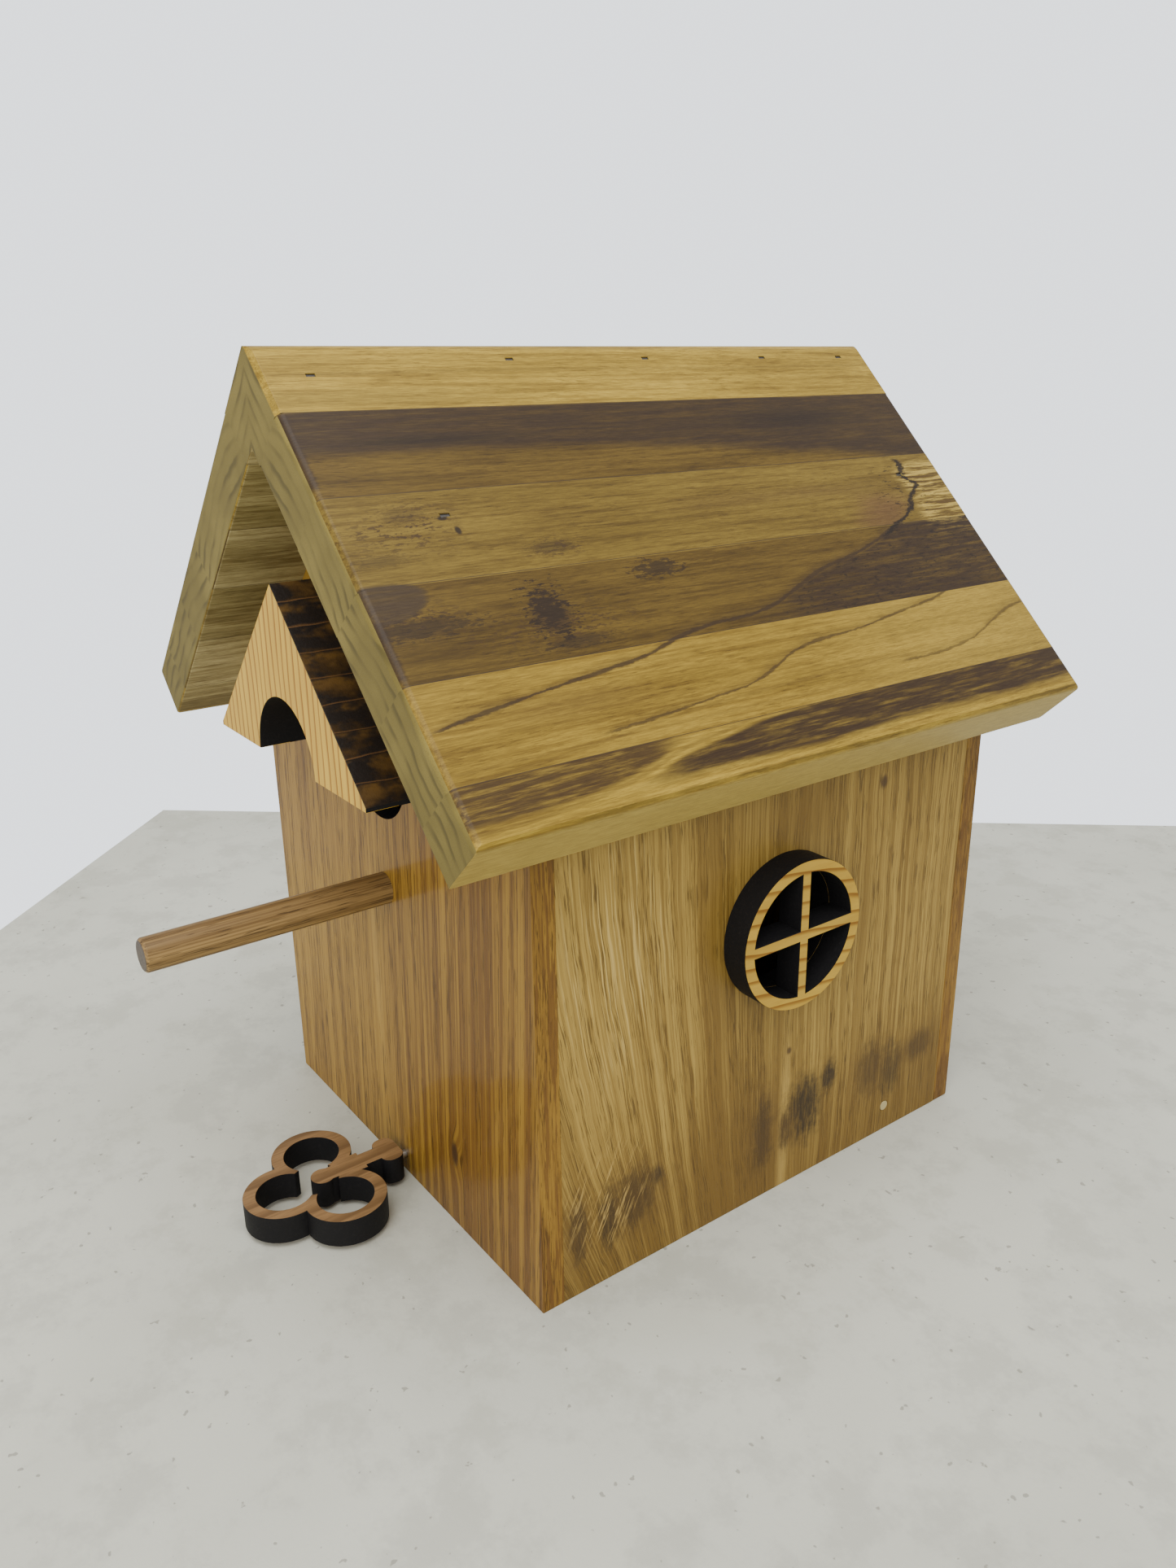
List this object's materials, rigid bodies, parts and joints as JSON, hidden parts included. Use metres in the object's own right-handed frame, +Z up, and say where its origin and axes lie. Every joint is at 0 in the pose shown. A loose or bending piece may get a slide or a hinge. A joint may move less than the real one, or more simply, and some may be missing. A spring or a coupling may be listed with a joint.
{
  "type": "birdhouse",
  "caption": "Wooden gable-roofed birdhouse with a round entry under a small canopy, a dowel perch, a round window and a keyed clean-out floor.",
  "frame": {"origin": "under the middle of the whole object, on the surface that its walls stand on", "axes": "+X to the right seen from the front, +Y to the back, away from the entry hole, +Z up"},
  "size_m": [0.2288, 0.296, 0.2852],
  "materials": {
    "gable_oak": "satin varnish, straight vertical grain",
    "side_oak": "satin varnish, rustic grain with dark mineral stains",
    "dowel_oak": "satin oak dowel with open pores",
    "scorched_pine": "pale planed face with scorched sides",
    "charred_edge_pine": "pale planed face with charred black edges",
    "roof_sapwood": "oiled, olive-yellow with fine grain",
    "roof_heartwood": "oiled, brown heartwood streaks",
    "floor_oak": "planed, unfinished",
    "brass_pin": "dull",
    "bright_steel": "dull"
  },
  "bodies": {
    "house": {"front_wall": "gable_oak", "back_wall": "gable_oak", "left_wall": "side_oak", "right_wall": "side_oak", "perch": "dowel_oak", "canopy_front": "scorched_pine", "canopy_middle": "scorched_pine", "canopy_back": "scorched_pine", "window_frame": "charred_edge_pine", "roof_right_strip_1": "roof_sapwood", "roof_right_strip_2": "roof_heartwood", "roof_right_strip_3": "roof_sapwood", "roof_right_strip_4": "roof_sapwood", "roof_right_strip_5": "roof_sapwood", "roof_right_strip_6": "roof_heartwood", "roof_left_strip_1": "roof_sapwood", "roof_left_strip_2": "roof_heartwood", "roof_left_strip_3": "roof_sapwood", "roof_left_strip_4": "roof_sapwood", "roof_left_strip_5": "roof_sapwood", "roof_left_strip_6": "roof_heartwood", "ridge_brads": "bright_steel", "gable_brads": "bright_steel"},
    "floor": {"floor_board": "floor_oak", "floor_pin_right": "brass_pin", "floor_pin_left": "brass_pin"},
    "key": {"key_handle": "charred_edge_pine", "key_pin": "bright_steel"}
  },
  "joints": [
    {"name": "floor_swing", "type": "hinge", "parent": "house", "child": "floor", "pos_m": [0, 0.0905, 0.0105], "axis": [1, 0, 0], "range_deg": [0, 90]},
    {"name": "key_pull", "type": "slide", "parent": "house", "child": "key", "axis": [0, -1, 0], "range_m": [0, 0.03]}
  ]
}
